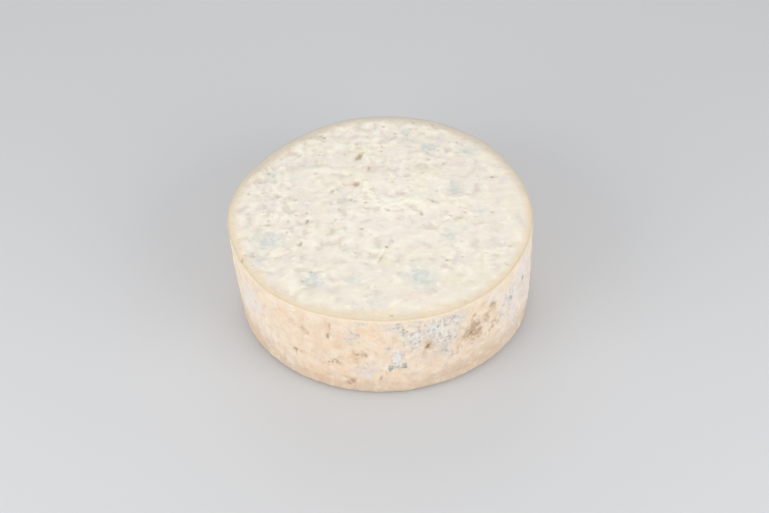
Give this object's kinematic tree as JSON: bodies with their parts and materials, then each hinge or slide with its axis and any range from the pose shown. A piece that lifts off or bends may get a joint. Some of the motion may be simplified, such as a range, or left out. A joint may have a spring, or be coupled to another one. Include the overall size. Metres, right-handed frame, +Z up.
{
  "type": "half wheel of blue cheese",
  "caption": "Half of a round blue cheese, cut level with a wire, with a pale marbled cut face, a mottled rind and a rounded foot.",
  "frame": {"origin": "middle of the flat face that the half wheel rests on", "axes": "+Z up, along the wheel's axis, from the flat face to the cut face; +X along the wire's way; the side in view faces -Y"},
  "size_m": [0.282, 0.2794, 0.1018],
  "materials": {
    "cheese": "cream paste with faint blue-green mould, and a peach rind with grey bloom"
  },
  "bodies": {
    "root": {"half_wheel": "cheese"}
  },
  "joints": []
}
